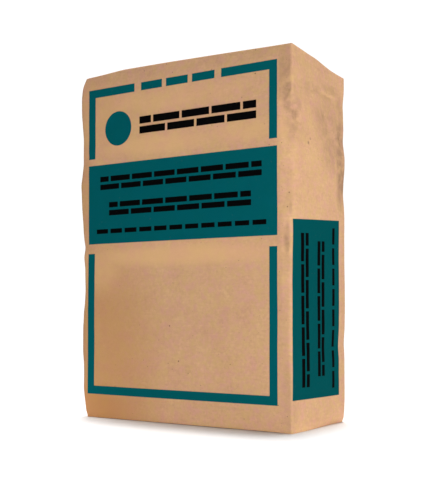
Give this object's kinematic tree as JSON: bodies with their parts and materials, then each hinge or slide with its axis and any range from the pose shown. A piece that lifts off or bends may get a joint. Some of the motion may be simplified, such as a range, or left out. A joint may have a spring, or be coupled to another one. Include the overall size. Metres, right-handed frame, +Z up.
{
  "type": "cement bag",
  "caption": "Filled block-ended kraft paper sack of cement, standing on one end, with a pasted cover sheet on each end and a flat valve sleeve at one top corner.",
  "frame": {"origin": "on the floor under the middle of the sack's outline", "axes": "+Z up along the sack's length, +X along its width towards the narrow side with the printed panel, -Y out of the broad face with the printed frame"},
  "size_m": [0.3288, 0.1483, 0.4551],
  "materials": {
    "sack_paper": "matte uncoated brown kraft, printed with a teal frame, band and side panel",
    "top_cover_paper": "matte uncoated brown kraft",
    "bottom_cover_paper": "matte uncoated brown kraft",
    "valve_paper": "matte pale brown kraft"
  },
  "bodies": {
    "root": {"sack_body": "sack_paper", "top_cover_sheet": "top_cover_paper", "bottom_cover_sheet": "bottom_cover_paper", "valve_sleeve": "valve_paper"}
  },
  "joints": []
}
